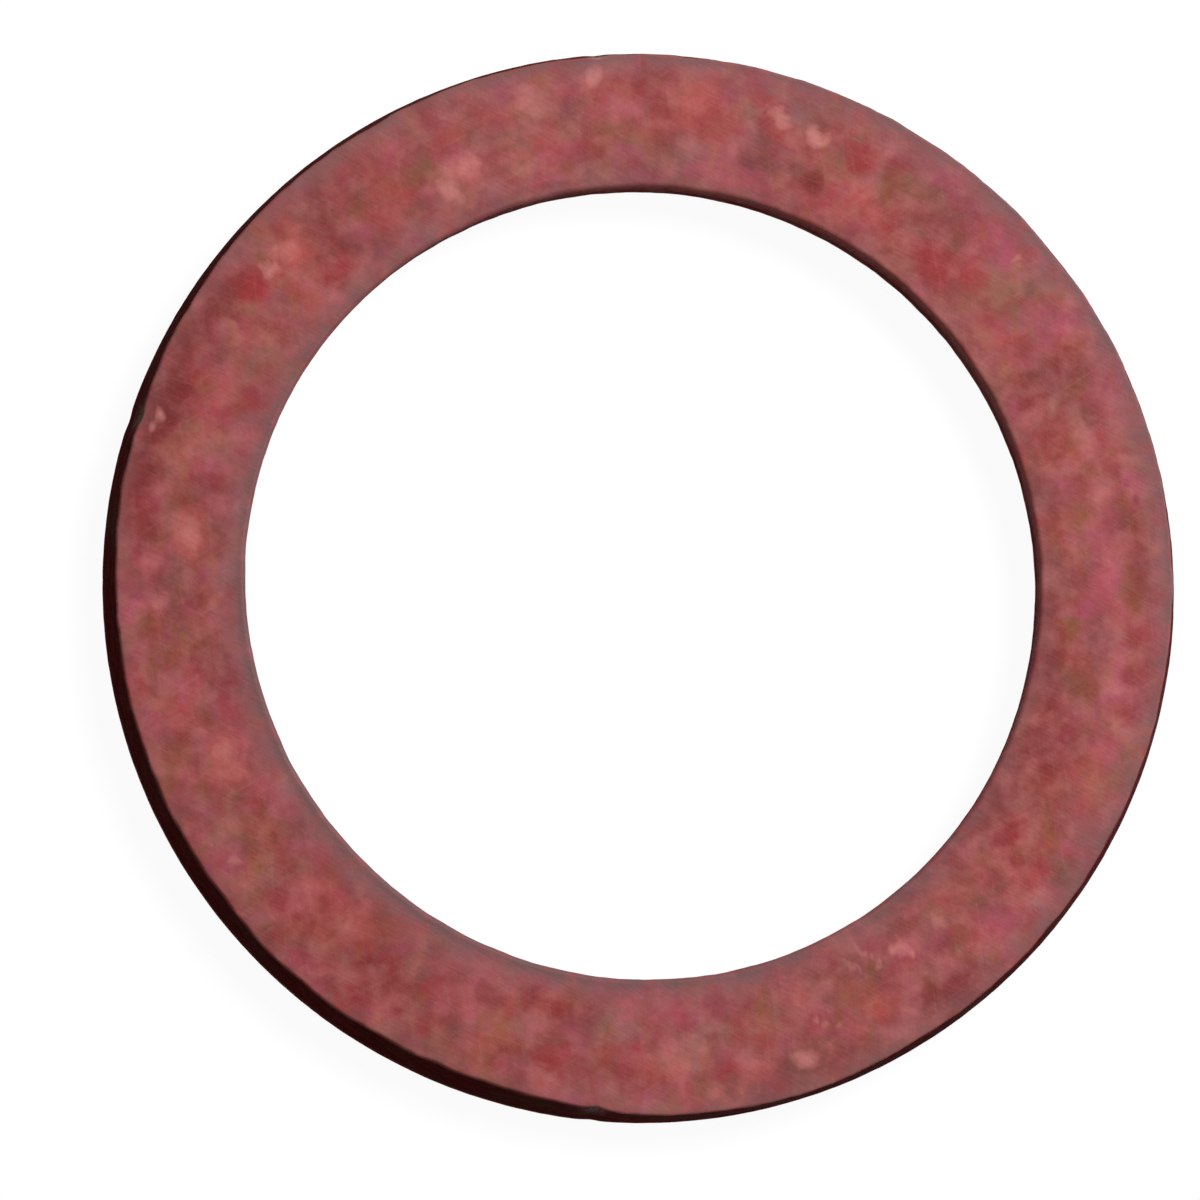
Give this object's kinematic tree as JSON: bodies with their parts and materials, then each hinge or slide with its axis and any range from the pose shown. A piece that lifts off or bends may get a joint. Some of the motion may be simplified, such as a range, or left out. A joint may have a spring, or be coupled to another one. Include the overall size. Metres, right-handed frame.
{
  "type": "flat gasket",
  "caption": "Flat ring gasket punched from red vulcanised fibre sheet, clamped between two flat faces to seal around a bolt or pipe.",
  "frame": {"origin": "centre of the bottom sealing face", "axes": "+Z along the ring's axis, out of the top sealing face, which is the face that shows in the picture; +Y is up in the picture"},
  "size_m": [0.03, 0.03, 0.0015],
  "materials": {
    "red_fibre": "matte"
  },
  "bodies": {
    "root": {"gasket_ring": "red_fibre"}
  },
  "joints": []
}
